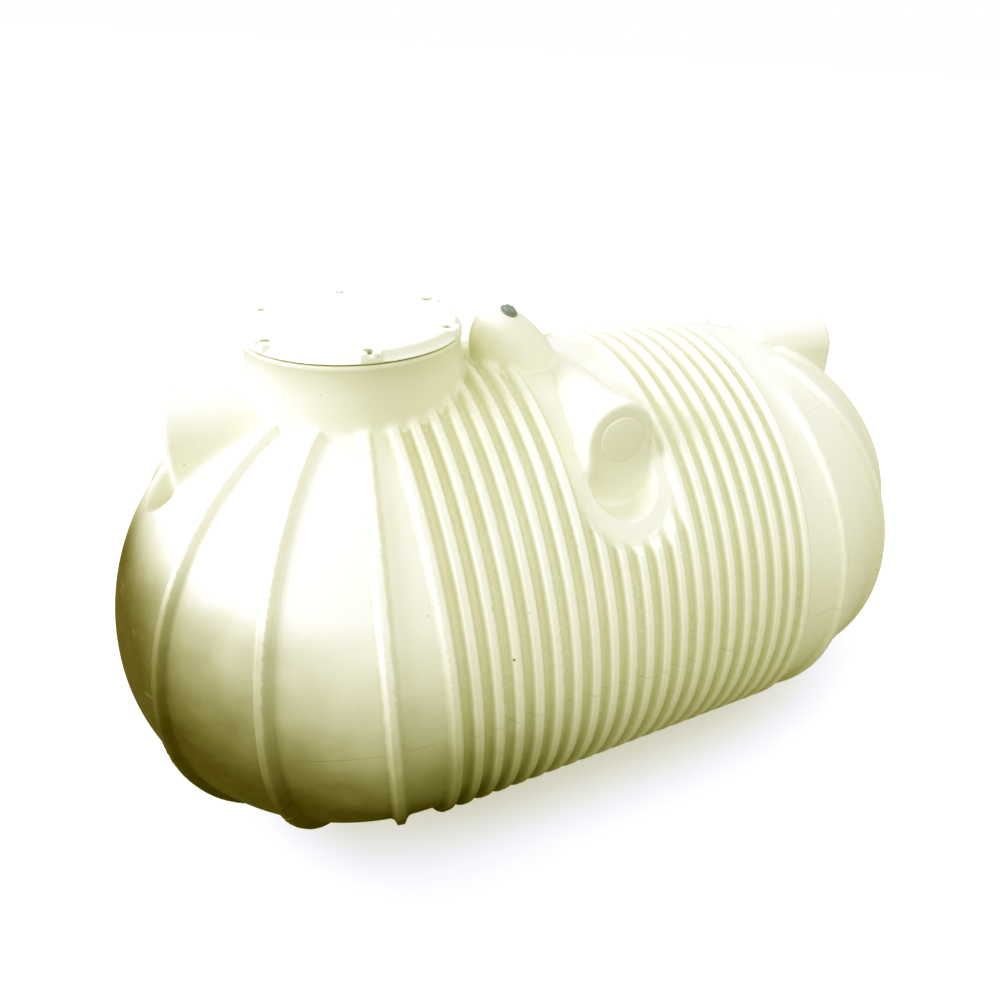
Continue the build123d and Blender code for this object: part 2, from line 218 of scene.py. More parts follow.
class TurretSettings(PropertyGroup):
    """The vent turret and its plug."""

    offset: length("Offset", "From the middle of the barrel towards the manhole", 0.1010)
    radius: length("Radius", "Radius at the crown", 0.1096)
    top_radius: length("Top radius", "Radius of the flat top", 0.0157)
    rise: length("Rise", "Height above the crown", 0.1371)
    lean: angle("Lean", "Lean towards the manhole", 18.9)
    fullness: FloatProperty(name="Fullness", description="Roundness of the side", default=1.56)
    plug_offset: length("Plug offset", "Plug from the turret's axis at the crown", 0.0243)
    plug_front: length("Plug to the front", "Plug in front of the turret's axis", 0.0244)
    plug_tilt: angle("Plug tilt", "Tilt of the plug's seat", 28.0)
    plug_heading: angle("Plug heading", "Heading that the plug's seat faces", -50.0)
    plug_radius: length("Plug radius", "Radius of the plug", 0.0215)
    plug_height: length("Plug height", "Height of the plug above its seat", 0.0115)
    seat_drop: length("Seat drop", "Seat of the plug below the turret's top", 0.0103)
    seat_radius: length("Seat radius", "Radius of the spot face for the plug", 0.024)


class FinishSettings(PropertyGroup):
    """Colours of the finishes."""

    shell_colour: colour("Shell", "Cream polyethylene", (0.84, 0.84, 0.74))
    lid_colour: colour("Lid", "Cream polyethylene of the lid", (0.89, 0.89, 0.80))
    # A yellowed tone that also serves as painted shade between the ribs and towards the bottom
    yellowing_and_shade_colour: colour("Shade", "Yellowed polyethylene", (0.60, 0.59, 0.42))
    # A brown that serves as dirt, and also as painted shade on the lower near end
    dirt_and_shade_colour: colour("Dirt and shade", "Brown dirt", (0.042, 0.021, 0.007))
    gasket_colour: colour("Gasket", "Rubber of the gasket", (0.04, 0.045, 0.05))
    screw_colour: colour("Screws", "Dulled steel", (0.58, 0.57, 0.54))
    plug_colour: colour("Plug", "Blue-grey plastic of the plug", (0.22, 0.28, 0.38))
    floor_colour: colour("Floor", "Pale studio floor", (0.72, 0.72, 0.705))


SETTINGS = {
    "tank_shell": ShellSettings,
    "tank_manhole": ManholeSettings,
    "tank_bosses": BossSettings,
    "tank_turret": TurretSettings,
    "tank_finish": FinishSettings,
}


def picked(geom, kind):
    """The items of one kind in what an operator gives back."""
    return [item for item in geom if isinstance(item, kind)]


def edges_round(verts):
    """The edges at some vertices, each once and in a fixed order."""
    return list(dict.fromkeys(edge for vert in verts for edge in vert.link_edges))


def smooth_step(value):
    """Runs smoothly from 0 to 1, for a number or an array."""
    value = np.clip(value, 0.0, 1.0)
    return value * value * (3 - 2 * value)


def crown_height(scene):
    """Top of the plain wall above the ground."""
    return scene.tank_shell.parting_height + scene.tank_shell.shell_radius


def boss_axis(scene):
    """Height of the bosses' axes above the parting plane."""
    return scene.tank_shell.shell_radius - scene.tank_bosses.axis_drop


def link_mesh(bm, name, sharp=FITTING_SHARP):
    """Shade a bmesh and put it in the scene as a new object."""
    for face in bm.faces:
        face.smooth = True
    for edge in bm.edges:
        edge.smooth = len(edge.link_faces) == 2 and edge.calc_face_angle(0) < sharp
    mesh = bpy.data.meshes.new(name)
    bm.to_mesh(mesh)
    bm.free()
    piece = bpy.data.objects.new(name, mesh)
    bpy.context.scene.collection.objects.link(piece)
    return piece


def link_closed(bm, name):
    """Weld a bmesh, face it outwards and link it."""
    bmesh.ops.remove_doubles(bm, verts=bm.verts, dist=WELD)
    bmesh.ops.dissolve_degenerate(bm, edges=bm.edges, dist=WELD)
    bmesh.ops.recalc_face_normals(bm, faces=bm.faces)
    return link_mesh(bm, name)


def seat_piece(piece, slot, material, *nodes):
    """Give a piece its finish and its place in the frame."""
    if not piece.data.polygons:
        raise RuntimeError(f"{piece.name} came out empty")
    piece.data.materials.clear()
    piece.data.materials.append(material)
    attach(piece, "root")
    if nodes:
        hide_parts(*nodes)


def modified(piece, kind, **values):
    """Replace a piece's mesh by what one modifier makes of it."""
    modifier = piece.modifiers.new(kind.lower(), kind)
    for key, value in values.items():
        setattr(modifier, key, value)
    bpy.context.view_layer.update()
    graph = bpy.context.evaluated_depsgraph_get()
    mesh = bpy.data.meshes.new_from_object(piece.evaluated_get(graph))
    piece.modifiers.clear()
    old = piece.data
    piece.data = mesh
    mesh.name = piece.name
    bpy.data.meshes.remove(old)


def cut_away(piece, tool, **values):
    """Cut one closed piece out of another, and remove it."""
    modified(piece, "BOOLEAN", operation="DIFFERENCE", object=tool, solver="EXACT", **values)
    bpy.data.objects.remove(tool)


def pour(source, target, matrix=Matrix.Identity(4)):
    """Add one bmesh to another, placed by a matrix, and free it."""
    mesh = bpy.data.meshes.new("part")
    source.to_mesh(mesh)
    source.free()
    mesh.transform(matrix)
    target.from_mesh(mesh)
    bpy.data.meshes.remove(mesh)


def move(bm, x=0.0, y=0.0, z=0.0, verts=None):
    """Move a bmesh, or some of its vertices."""
    bmesh.ops.translate(bm, verts=bm.verts if verts is None else verts, vec=(x, y, z))


def rounded(bm, edges, offset, segments):
    """Round some edges of a bmesh."""
    bmesh.ops.bevel(
        bm, geom=edges, offset=offset, segments=segments, affect="EDGES", profile=0.5, material=-1
    )


def relaxed(bm, verts, factor, turns):
    """Smooth some vertices of a bmesh."""
    for _ in range(turns):
        bmesh.ops.smooth_vert(
            bm, verts=verts, factor=factor, use_axis_x=True, use_axis_y=True, use_axis_z=True
        )


def closed_outline(bm, points):
    """A closed outline in the plane y = 0, from its x and z."""
    verts = [bm.verts.new((x, 0, z)) for x, z in points]
    edges = [bm.edges.new((verts[i - 1], verts[i])) for i in range(len(verts))]
    return verts + edges


def manhole_ring(bm, points):
    """Spin the outline of a section into a ring round the manhole's axis."""
    bmesh.ops.spin(
        bm, geom=closed_outline(bm, points), cent=(0, 0, 0), axis=(0, 0, 1), angle=2 * math.pi,
        steps=256, use_merge=True,
    )


def cylinder(bm, radius, low, high, segments=64, top=None):
    """Upright cylinder on the z axis, or a cone if it has another radius at its top."""
    return bmesh.ops.create_cone(
        bm, cap_ends=True, cap_tris=False, segments=segments, radius1=radius,
        radius2=radius if top is None else top, depth=high - low,
        matrix=Matrix.Translation((0, 0, (low + high) / 2)),
    )["verts"]


def section_arcs(shell):
    """Arcs of the upright section from the crown to the underside: centre and sweep."""
    base_centre = math.sqrt(shell.base_step ** 2 - shell.side_inset ** 2)
    half_angle = math.atan2(shell.side_inset, base_centre)
    return [
        (0.0, 0.0, math.pi / 2),
        (shell.side_inset, 0.0, math.pi / 2 - half_angle),
        (0.0, base_centre, half_angle),
    ]


def spin_section(bm, geom, arcs, step):
    """Spin geometry that stands on the crown down one side, arc by arc."""
    for across, up, sweep in arcs:
        steps = max(1, round(sweep / step))
        spun = bmesh.ops.spin(
            bm, geom=geom, cent=(0, across, up), axis=(-1, 0, 0), angle=sweep, steps=steps
        )
        geom = spun["geom_last"]
    return geom


def tank_skin(shell):
    """The plain tank: both ends spun, the barrel drawn out between them."""
    bm = bmesh.new()
    crown = bm.verts.new((0, 0, shell.shell_radius))
    spin_section(bm, [crown], section_arcs(shell), SKIN_STEP)
    move(bm, x=-shell.barrel_half)
    rim = bm.verts[:] + bm.edges[:]
    for end in (-1, 1):
        spun = bmesh.ops.spin(
            bm, geom=rim, cent=(end * shell.barrel_half, 0, 0), axis=(0, 0, 1),
            angle=math.pi, steps=180,
        )
        drawn = bmesh.ops.extrude_edge_only(bm, edges=picked(spun["geom_last"], BMEdge))["geom"]
        move(bm, x=-end * 2 * shell.barrel_half, verts=picked(drawn, BMVert))
        rim = picked(drawn, (BMVert, BMEdge))
    return bm


def rib_reach(shell):
    """From a rib's middle to the end of its crest, and to the end of its foot."""
    return shell.rib_crest / 2 - shell.rib_round, shell.rib_foot / 2 + shell.rib_round


def first_rib(shell):
    """Middle of the rib nearest to the manhole's end."""
    return -shell.barrel_half + shell.rib_margin + shell.rib_foot / 2


def rib_profile(bm, shell):
    """Closed outline of one rib across the crown, with soft feet and a rounded crest."""
    inner, outer = rib_reach(shell)
    points = []
    for step in range(-9, 10):
        spot = outer * (step / 9)
        rise = 1 - smooth_step((abs(spot) - inner) / (outer - inner))
        points.append((spot, shell.shell_radius + shell.rib_height * rise))
    root = shell.shell_radius - RIB_ROOT
    return closed_outline(bm, points + [(outer, root), (-outer, root)])


def barrel_rib(shell):
    """One rib all the way round the barrel, at x = 0."""
    bm = bmesh.new()
    spin_section(bm, rib_profile(bm, shell), section_arcs(shell), RIB_STEP)
    half = bm.verts[:] + bm.edges[:] + bm.faces[:]
    bmesh.ops.mirror(bm, geom=half, axis="Y", merge_dist=0.0001)
    bmesh.ops.remove_doubles(bm, verts=bm.verts, dist=0.0001)
    return bm


def end_rib(shell, top, soft_top):
    """One rib along a meridian, heading +Y from the origin, from its top to its bottom."""
    bm = bmesh.new()
    profile = rib_profile(bm, shell)
    _, flank, base = section_arcs(shell)
    turn = Matrix.Rotation(top - math.pi / 2, 3, "X")
    bmesh.ops.rotate(bm, verts=bm.verts, cent=(0, 0, 0), matrix=turn)
    runs = [(0.0, 0.0, top), flank, (*base[:2], shell.end_rib_bottom - flank[2])]
    last = spin_section(bm, profile, runs, RIB_STEP)
    for ring in (profile, last):
        bmesh.ops.contextual_create(bm, geom=picked(ring, BMEdge))
    for vert in (bm.verts if soft_top else ()):
        across = Vector((0, vert.co.y, vert.co.z))
        height = across.length - shell.shell_radius
        if vert.co.z > 0 and height > -0.001:
            reach = (top - math.atan2(vert.co.z, vert.co.y)) * shell.shell_radius
            sink = (height + RIB_SUNK) * (1 - smooth_step(reach / TOP_FADE))
            vert.co -= across.normalized() * sink
    return bm


def obround(bm, radius, drop, segments=96):
    """Flat obround face in the plane y = 0, its upper centre at the origin."""
    verts = bmesh.ops.create_circle(bm, cap_ends=True, radius=radius, segments=segments)["verts"]
    turn = Matrix.Rotation(math.pi / 2, 3, "X") @ Matrix.Rotation(math.pi / segments, 3, "Z")
    bmesh.ops.rotate(bm, verts=verts, cent=(0, 0, 0), matrix=turn)
    move(bm, z=-drop, verts=[vert for vert in verts if vert.co.z < 0])
    return verts


def prism(bm, verts, start, reach, soft=0.0):
    """Draw a flat face along -Y from start to reach, with a softened front edge."""
    move(bm, y=-start, verts=verts)
    face = verts[0].link_faces[0]
    drawn = bmesh.ops.extrude_face_region(bm, geom=[face], use_keep_orig=True)["geom"]
    move(bm, y=start - reach, verts=picked(drawn, BMVert))
    if soft:
        rounded(bm, picked(drawn, BMFace)[0].edges[:], soft, 4)


def boss_frames(scene):
    """Start, reach, trunk radius and place of the four bosses."""
    shell, bosses = scene.tank_shell, scene.tank_bosses
    side = shell.shell_radius - bosses.side_setback
    end = shell.shell_radius - bosses.end_setback
    thin = bosses.boss_radius - bosses.trunk_step
    near = Matrix.Translation((-shell.barrel_half, 0, 0)) @ Matrix.Rotation(-math.pi / 2, 4, "Z")
    far = Matrix.Translation((shell.barrel_half, 0, 0)) @ Matrix.Rotation(math.pi / 2, 4, "Z")
    return [
        (0.0, side, thin, Matrix.Identity(4)),
        (0.0, side, thin, Matrix.Rotation(math.pi, 4, "Z")),
        (0.0, end, bosses.boss_radius, near),
        (bosses.far_start, end, bosses.boss_radius, far),
    ]


def boss_solid(scene, trunk_radius, start, reach):
    """Trunk and hood of one boss along -Y, about the tank's own axis."""
    bosses = scene.tank_bosses
    bm = bmesh.new()
    hood_start = reach - bosses.hood_length
    prism(bm, obround(bm, trunk_radius, bosses.pocket_drop), start, hood_start + 0.001)
    hood = bmesh.new()
    prism(hood, obround(hood, bosses.boss_radius, bosses.pocket_drop), hood_start, reach, 0.007)
    back = [edge for edge in hood.edges if all(abs(v.co.y + hood_start) < 1e-6 for v in edge.verts)]
    rounded(hood, back, 0.006, 3)
    pour(hood, bm)
    move(bm, z=boss_axis(scene))
    return bm


def pocket_solids(scene):
    """What the pockets below the four boss faces take out of the shell."""
    bosses = scene.tank_bosses
    pockets = bmesh.new()
    for _, reach, _, place in boss_frames(scene):
        cut = bmesh.new()
        prism(cut, obround(cut, bosses.boss_radius, bosses.pocket_drop), reach, CUT_END)
        move(cut, z=boss_axis(scene))
        pour(cut, pockets, place)
    return pockets


def turret_solid(shell, turret):
    """Leaning turret with a rounded top, from below the crown."""
    bm = bmesh.new()
    ring = bmesh.ops.create_circle(bm, radius=turret.radius, segments=96)["verts"]
    move(bm, z=shell.shell_radius - TURRET_ROOT)
    edges = edges_round(ring)
    bmesh.ops.contextual_create(bm, geom=edges)
    last_radius, last_height = turret.radius, -TURRET_ROOT
    slope = -math.tan(turret.lean)
    rounds = 24
    for step in range(rounds + 1):
        level = 1 - (1 - step / rounds) ** 2
        fullness = (1 - level ** turret.fullness) ** (1 / turret.fullness)
        radius = turret.top_radius + (turret.radius - turret.top_radius) * fullness
        height = level * turret.rise
        drawn = bmesh.ops.extrude_edge_only(bm, edges=edges)["geom"]
        verts = picked(drawn, BMVert)
        grow = radius / last_radius
        old = Vector((slope * max(last_height, 0), 0, shell.shell_radius + last_height))
        new = Vector((slope * height, 0, shell.shell_radius + height))
        bmesh.ops.scale(bm, verts=verts, vec=(grow, grow, 1), space=Matrix.Translation(-old))
        move(bm, *(new - old), verts=verts)
        edges = picked(drawn, BMEdge)
        last_radius, last_height = radius, height
    bmesh.ops.contextual_create(bm, geom=edges)
    bmesh.ops.remove_doubles(bm, verts=bm.verts, dist=0.0003)
    return bm


def plug_place(scene):
    """Frame of the plug's seat on the turret."""
    turret = scene.tank_turret
    height = crown_height(scene) + turret.rise - turret.seat_drop
    spot = (-turret.offset - turret.plug_offset, -turret.plug_front, height)
    heading = Matrix.Rotation(turret.plug_heading, 4, "Z")
    return Matrix.Translation(spot) @ heading @ Matrix.Rotation(turret.plug_tilt, 4, "Y")


def pad_gap(scene, x, z):
    """Distance from the edge of the smooth pad round a side boss, less than 0 inside it."""
    bosses = scene.tank_bosses
    down = np.maximum(boss_axis(scene) - bosses.pocket_drop - z, 0.0)
    return np.hypot(x, down) - bosses.boss_radius - bosses.pad_margin


def fade_at_pads(bm, scene):
    """Sink a rib of the middle band to the wall at the smooth pads, and well under the pockets."""
    for vert in bm.verts:
        x, y, z = vert.co
        if z > 0:
            height = math.hypot(y, z) - scene.tank_shell.shell_radius
            gap = pad_gap(scene, x, z)
            sink = (max(height, -0.001) + RIB_SUNK) * (1 - smooth_step(gap / PAD_FADE))
            sink += POCKET_SINK * smooth_step(-(gap + 0.004) / PAD_FADE)
            vert.co -= Vector((0, y, z)).normalized() * sink


def add_barrel_ribs(scene, solid):
    """Add the ribs of the barrel, faded where they meet a side boss's pad."""
    shell, bosses = scene.tank_shell, scene.tank_bosses
    rib_mesh = bpy.data.meshes.new("rib")
    one_rib = barrel_rib(shell)
    one_rib.to_mesh(rib_mesh)
    one_rib.free()
    for index in range(shell.rib_count):
        x = first_rib(shell) + index * shell.rib_pitch
        rib = bmesh.new()
        rib.from_mesh(rib_mesh)
        move(rib, x=x)
        if abs(x) < bosses.boss_radius + bosses.pad_margin:
            fade_at_pads(rib, scene)
        pour(rib, solid)
    bpy.data.meshes.remove(rib_mesh)


def add_end_ribs(scene, solid):
    """Add three pairs of ribs to each end."""
    shell = scene.tank_shell
    for end in (-1, 1):
        for pair in range(3):
            top = shell.near_rib_top
            if end > 0:
                top = shell.far_rib_top if pair else shell.far_first_top
            heading = -end * (shell.end_rib_first + pair * shell.end_rib_step)
            place = Matrix.Translation((end * shell.barrel_half, 0, 0))
            place = place @ Matrix.Rotation(heading, 4, "Z")
            for turn in (Matrix.Scale(-1, 4, (0, 1, 0)) @ place, place):
                pour(end_rib(shell, top, end > 0), solid, turn)


def read_rows(data, key):
    """The vectors of a mesh's data, one to a row."""
    flat = np.empty(len(data) * 3)
    data.foreach_get(key, flat)
    return flat.reshape(-1, 3)


def keep_rows(mesh, name, rows):
    """Store one vector for each vertex."""
    mesh.attributes.new(name, "FLOAT_VECTOR", "POINT").data.foreach_set("vector", rows.ravel())


def lengths(rows):
    """Length of each row, as a column."""
    return np.linalg.norm(rows, axis=1, keepdims=True)


def rib_rise(scene, points):
    """How high the ribs stand at these points, as a share of the rib height."""
    shell, bosses = scene.tank_shell, scene.tank_bosses
    x, y, z = points.T
    inner, outer = rib_reach(shell)
    first = first_rib(shell)
    index = np.clip(np.round((x - first) / shell.rib_pitch), 0, shell.rib_count - 1)
    away = np.abs(x - first - index * shell.rib_pitch)
    rise = 1 - smooth_step((away - inner) / (outer - inner))
    middle = np.abs(first + index * shell.rib_pitch) < bosses.boss_radius + bosses.pad_margin
    rise = np.where(middle & (z > 0), rise * smooth_step(pad_gap(scene, x, z) / PAD_FADE), rise)
    past = np.abs(x) - shell.barrel_half
    lift = np.arctan2(z, np.hypot(np.maximum(past, 0), y))
    ends = np.zeros_like(x)
    for pair in range(3):
        turn = shell.end_rib_first + pair * shell.end_rib_step
        away = np.abs(past * math.cos(turn) - np.abs(y) * math.sin(turn))
        top = np.where(x < 0, shell.near_rib_top, shell.far_rib_top if pair else shell.far_first_top)
        fade = smooth_step((top - lift) * shell.shell_radius / TOP_FADE)
        fade = np.where((x < 0) | (z < 0), lift < top, fade)
        ends = np.maximum(ends, (1 - smooth_step((away - inner) / (outer - inner))) * fade)
    return np.where(past > 0, np.maximum(ends, np.where(past < outer, rise, 0)), rise)


def wall_distance(scene, points):
    """Distance of points out of the ribbed wall, measured across the section."""
    shell = scene.tank_shell
    x, y, z = points.T
    level = np.hypot(np.maximum(np.abs(x) - shell.barrel_half, 0), y)
    side = shell.shell_radius - shell.side_inset
    _, (inset, _, sweep), (_, centre, _) = section_arcs(shell)
    upper = np.hypot(level, z) - shell.shell_radius
    flank = np.hypot(level - inset, z) - side
    base = np.hypot(level, z - centre) - side - shell.base_step
    low = np.where(np.arctan2(-z, level - inset) < sweep, flank, base)
    plain = np.where(z > 0, upper, low)
    return plain - shell.rib_height * rib_rise(scene, points)


def wall_slope(scene, points, gap):
    """Steepest rise of the distance from the ribbed wall."""
    tiny = 0.0003
    rises = [(wall_distance(scene, points + tiny * axis) - gap) / tiny for axis in np.eye(3)]
    return np.stack(rises, axis=1)


def true_up(mesh, scene):
    """Set the blended mould exactly on the ribbed wall, mark the valleys between its ribs for painted
    shade and keep its normals.

    Only vertices within about 2 mm of the wall that also face as it does are moved, so that
    fillets, pockets and the bosses' faces stay as they were blended.
    """
    shell = scene.tank_shell
    lift = np.array([0, 0, shell.parting_height])
    points = read_rows(mesh.vertices, "co") - lift
    facing = read_rows(mesh.vertex_normals, "vector")
    for _ in range(3):
        gap = wall_distance(scene, points)
        slope = wall_slope(scene, points, gap)
        steep = np.maximum((slope ** 2).sum(axis=1), 0.25)
        reach = np.abs(gap) / np.sqrt(steep)
        along = (slope * facing).sum(axis=1) / np.sqrt(steep)
        near = (1 - smooth_step((reach - 0.0010) / 0.0018)) * smooth_step((along - 0.80) / 0.12)
        points -= (near * gap / steep)[:, None] * slope
    points = np.clip(points + lift, CAD_BOX[0], CAD_BOX[1]) - lift
    mesh.vertices.foreach_set("co", (points + lift).ravel())

    gap = wall_distance(scene, points)
    slope = wall_slope(scene, points, gap)
    on_wall = near * (np.abs(gap) < 0.0008)
    keep_rows(mesh, "wall_normal", slope / np.maximum(lengths(slope), 0.01) * on_wall[:, None])

    x, y, z = points.T
    pad = smooth_step(pad_gap(scene, x, z) / PAD_FADE)
    # Painted shade: a mask for a darker tone down in the valleys between the barrel's ribs, faded at
    # the pads
    marks = (1 - rib_rise(scene, points)) ** 3 * (np.abs(x) < shell.barrel_half - 0.01)
    marks = marks * np.where(z > 0, pad, 1.0) * (np.abs(gap) < 0.003)
    mesh.attributes.new("groove_shade", "FLOAT", "POINT").data.foreach_set("value", marks)


def soften(mesh, scene):
    """Round the mould's inner corners where neck, turret and bosses meet the wall."""
    shell, bosses, turret = scene.tank_shell, scene.tank_bosses, scene.tank_turret
    x, y, z = (read_rows(mesh.vertices, "co") - [0, 0, shell.parting_height]).T
    axis_height = boss_axis(scene)
    along = np.maximum(np.abs(x) - shell.barrel_half, 0.0)
    out = np.sqrt(along * along + y * y + z * z) - shell.shell_radius
    neck = np.hypot(x + shell.barrel_half, y) - scene.tank_manhole.neck_radius
    cone = np.hypot(x + turret.offset, y) - turret.radius
    tall = np.maximum(axis_height - bosses.pocket_drop - z, 0.0) + np.maximum(z - axis_height, 0.0)
    side = np.hypot(x, tall) - bosses.boss_radius
    end = np.hypot(y, tall) - bosses.boss_radius
    root = (np.abs(neck) < NECK_ROOT) | (np.abs(cone) < CONE_ROOT)
    root |= (side > BOSS_ROOT_IN) & (side < BOSS_ROOT_OUT)
    root |= (np.abs(x) > shell.barrel_half + END_BOSS_START) & (np.abs(end) < BOSS_ROOT_OUT)
    root &= (z >= ROOT_LOW) & (np.abs(out) <= ROOT_OUT)
    bm = bmesh.new()
    bm.from_mesh(mesh)
    relaxed(bm, [vert for vert, is_root in zip(bm.verts, root) if is_root], 0.5, 4)
    relaxed(bm, bm.verts, 0.4, 1)
    bm.to_mesh(mesh)
    bm.free()


def spot_face(scene, skin):
    """Cut the tilted seat of the plug into the turret."""
    cut = bmesh.new()
    cylinder(cut, scene.tank_turret.seat_radius, 0, 0.05, 96)
    cut.transform(plug_place(scene))
    cut_away(skin, link_closed(cut, "plug_seat_tool"))


def keep_normals(mesh):
    """Store the smooth normals of the whole mould, so that its pieces shade as one."""
    exact = read_rows(mesh.attributes["wall_normal"].data, "vector")
    share = np.minimum(lengths(exact), 1.0)
    keep_rows(mesh, "whole_normal", read_rows(mesh.vertex_normals, "vector") * (1 - share) + exact)
    mesh.attributes.remove(mesh.attributes["wall_normal"])


def use_kept_normals(mesh):
    """Shade a piece of the mould by the normals stored from the whole."""
    corner_vert = np.empty(len(mesh.loops), dtype=np.int32)
    mesh.loops.foreach_get("vertex_index", corner_vert)
    wanted = read_rows(mesh.attributes["whole_normal"].data, "vector")[corner_vert]
    wanted = wanted / np.maximum(lengths(wanted), 1e-6)
    own = read_rows(mesh.corner_normals, "vector")
    turned = (wanted * own).sum(axis=1) < 0.80
    wanted[turned] = own[turned]
    mesh.normals_split_custom_set(wanted.tolist())
    mesh.attributes.remove(mesh.attributes["whole_normal"])


def cut_off(bm, geom, spot, outward):
    """Cut a bmesh on a plane and close the cut."""
    bmesh.ops.bisect_plane(
        bm, geom=geom, dist=0.00001, plane_co=spot, plane_no=outward, clear_outer=True
    )
    bmesh.ops.holes_fill(bm, edges=[edge for edge in bm.edges if edge.is_boundary], sides=0)


def segment(scene, mesh, low, high, name):
    """One closed length of the moulded shell between two upright planes."""
    bm = bmesh.new()
    bm.from_mesh(mesh)
    for x, side in ((low, -1), (high, 1)):
        if x is not None:
            cut_off(bm, bm.verts[:] + bm.edges[:] + bm.faces[:], (x, 0, 0), (side, 0, 0))
    neck_top = crown_height(scene) + NECK_CUT
    reach = scene.tank_manhole.neck_radius + 0.03
    column = []
    for face in bm.faces:
        x, y, _ = face.calc_center_median()
        beside = math.hypot(x + scene.tank_shell.barrel_half, y)
        if beside < reach and max(vert.co.z for vert in face.verts) > neck_top:
            column.append(face)
    if column:
        verts = dict.fromkeys(vert for face in column for vert in face.verts)
        edges = dict.fromkeys(edge for face in column for edge in face.edges)
        cut_off(bm, [*verts, *edges, *column], (0, 0, neck_top), (0, 0, 1))
    piece = link_mesh(bm, name, MOULD_SHARP)
    use_kept_normals(piece.data)
    return piece


class TANK_OT_shell(Operator):
    """Mould the ribbed shell with its neck stub, turret and pipe bosses"""

    bl_idname = "tank.shell"
    bl_label = "Moulded shell"

    def execute(self, context):
        scene = context.scene
        shell = scene.tank_shell
        skin = link_closed(tank_skin(shell), "shell_mould")
        cut_away(skin, link_closed(pocket_solids(scene), "shell_pockets"))

        solid = bmesh.new()
        solid.from_mesh(skin.data)
        add_barrel_ribs(scene, solid)
        add_end_ribs(scene, solid)
        for start, reach, trunk, place in boss_frames(scene):
            pour(boss_solid(scene, trunk, start, reach), solid, place)
        turret = scene.tank_turret
        pour(turret_solid(shell, turret), solid, Matrix.Translation((-turret.offset, 0, 0)))
        stub = bmesh.new()
        cylinder(stub, scene.tank_manhole.neck_radius, 0.35, shell.shell_radius + 0.08, 256)
        pour(stub, solid, Matrix.Translation((-shell.barrel_half, 0, 0)))
        bmesh.ops.recalc_face_normals(solid, faces=solid.faces)
        solid.to_mesh(skin.data)
        solid.free()
        skin.data.transform(Matrix.Translation((0, 0, shell.parting_height)))
        size = shell.grain * 1
        modified(skin, "REMESH", mode="VOXEL", voxel_size=size, use_smooth_shade=True)

        soften(skin.data, scene)
        true_up(skin.data, scene)
        spot_face(scene, skin)
        keep_normals(skin.data)
        material = moulded_material(scene)
        cuts = (None, -shell.barrel_half, *BAND_CUTS, shell.barrel_half, None)
        for index, (name, nodes) in enumerate(BANDS.items()):
            piece = segment(scene, skin.data, cuts[index], cuts[index + 1], name)
            seat_piece(piece, "shell", material, *nodes)
        bpy.data.objects.remove(skin)
        return {"FINISHED"}


class TANK_OT_neck(Operator):
    """Spin the upper part of the manhole neck with its rounded rim"""

    bl_idname = "tank.neck"
    bl_label = "Manhole neck"

    def execute(self, context):
        scene = context.scene
        manhole = scene.tank_manhole
        low = crown_height(scene) + NECK_CUT
        high = crown_height(scene) + manhole.neck_rise
        outer = manhole.neck_radius
        rim = outer + manhole.rim_overhang
        inner = outer - manhole.flange_width
        wall = outer - NECK_WALL
        bm = bmesh.new()
        manhole_ring(bm, [
            (outer, low), (outer, high - manhole.rim_height - 0.004),
            (rim, high - manhole.rim_height), (rim, high), (inner, high), (inner, high - 0.014),
            (wall, high - 0.018), (wall, low),
        ])
        bmesh.ops.remove_doubles(bm, verts=bm.verts, dist=WELD)
        soft = [
            edge for edge in bm.edges
            if abs(edge.verts[0].co.z - edge.verts[1].co.z) < 1e-6
            and all(vert.co.xy.length > outer + 0.001 for vert in edge.verts)
        ]
        rounded(bm, soft, 0.004, 4)
        move(bm, x=-scene.tank_shell.barrel_half)
        piece = link_closed(bm, "manhole_neck_rim")
        seat_piece(piece, "shell", moulded_material(scene), "manhole_neck")
        return {"FINISHED"}


def pit_solids(manhole):
    """The screws' pits in the lid, each with its slot to the rim."""
    pits = bmesh.new()
    circle = manhole.neck_radius - manhole.screw_inset
    floor = manhole.lid_thickness - manhole.pit_depth
    for index in range(manhole.screw_count):
        turn = Matrix.Rotation(manhole.screw_first + index * 2 * math.pi / manhole.screw_count, 4, "Z")
        pit = bmesh.new()
        cylinder(pit, manhole.pit_radius, floor, 0.05, 48)
        pit.transform(Matrix.Translation((circle, 0, 0)))
        pour(pit, pits, turn)
        slot = bmesh.new()
        bmesh.ops.create_cube(slot, size=1)
        slot.transform(
            Matrix.Translation((circle + 0.03, 0, floor + 0.02))
            @ Matrix.Diagonal((0.06, manhole.pit_outlet, 0.04, 1))
        )
        pour(slot, pits, turn)
    return pits


